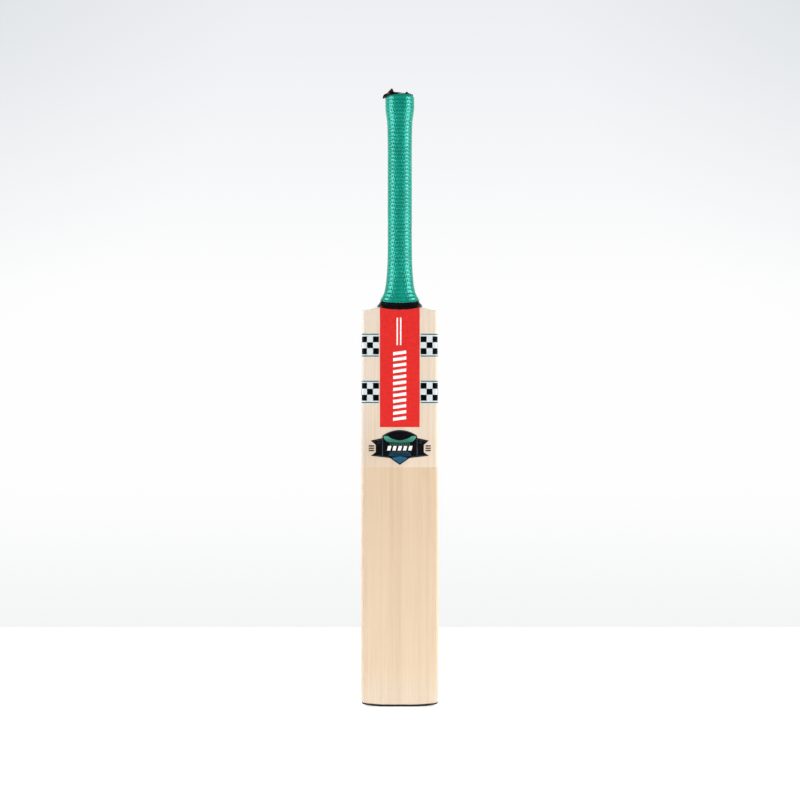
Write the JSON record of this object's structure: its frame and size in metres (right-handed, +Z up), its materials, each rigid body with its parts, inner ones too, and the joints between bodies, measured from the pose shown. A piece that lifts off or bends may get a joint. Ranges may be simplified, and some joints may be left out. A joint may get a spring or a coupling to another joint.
{
  "type": "cricket bat",
  "caption": "Cricket bat with a ridged willow blade, V-spliced cane handle, dimpled teal rubber grip, stickers, face film and toe guard.",
  "frame": {"origin": "on the ground under the middle of the bat's bounding box, with the bat standing on its toe", "axes": "+Z up the handle, face towards -Y, ridged back towards +Y, X across the blade"},
  "size_m": [0.1086, 0.0662, 0.856],
  "materials": {
    "willow": "pale willow with fine straight grain, satin",
    "cane": "straight-grained cane, bare",
    "spring_rubber": "black rubber sheet",
    "twine": "waxed natural twine, close turns",
    "grip_rubber": "teal moulded rubber with rows of small dimples, semi-gloss",
    "black_tape": "glossy black tape",
    "tape_liner": "dark red torn liner",
    "toe_rubber": "black rubber, worn matt",
    "clear_film": "clear adhesive film, faint warm tint",
    "red_sticker": "even red vinyl",
    "check_sticker": "white vinyl with black checks and green lines",
    "badge_sticker": "near-black vinyl with teal and white print",
    "printed_mark": "dark brown print"
  },
  "bodies": {
    "root": {"badge": "badge_sticker", "blade": "willow", "cane_back_left": "cane", "cane_back_middle": "cane", "cane_back_right": "cane", "cane_face_left": "cane", "cane_face_middle": "cane", "cane_face_right": "cane", "cane_inner_back_left": "cane", "cane_inner_back_middle": "cane", "cane_inner_back_right": "cane", "cane_inner_face_left": "cane", "cane_inner_face_middle": "cane", "cane_inner_face_right": "cane", "check_band_lower_left": "check_sticker", "check_band_lower_right": "check_sticker", "check_band_upper_left": "check_sticker", "check_band_upper_right": "check_sticker", "collar_tape": "black_tape", "end_tape": "black_tape", "end_tape_liner": "tape_liner", "face_film": "clear_film", "face_panel": "red_sticker", "grip": "grip_rubber", "side_mark_left": "printed_mark", "side_mark_right": "printed_mark", "spring_back": "spring_rubber", "spring_front": "spring_rubber", "spring_middle": "spring_rubber", "toe_guard": "toe_rubber", "twine_binding": "twine"}
  },
  "joints": []
}
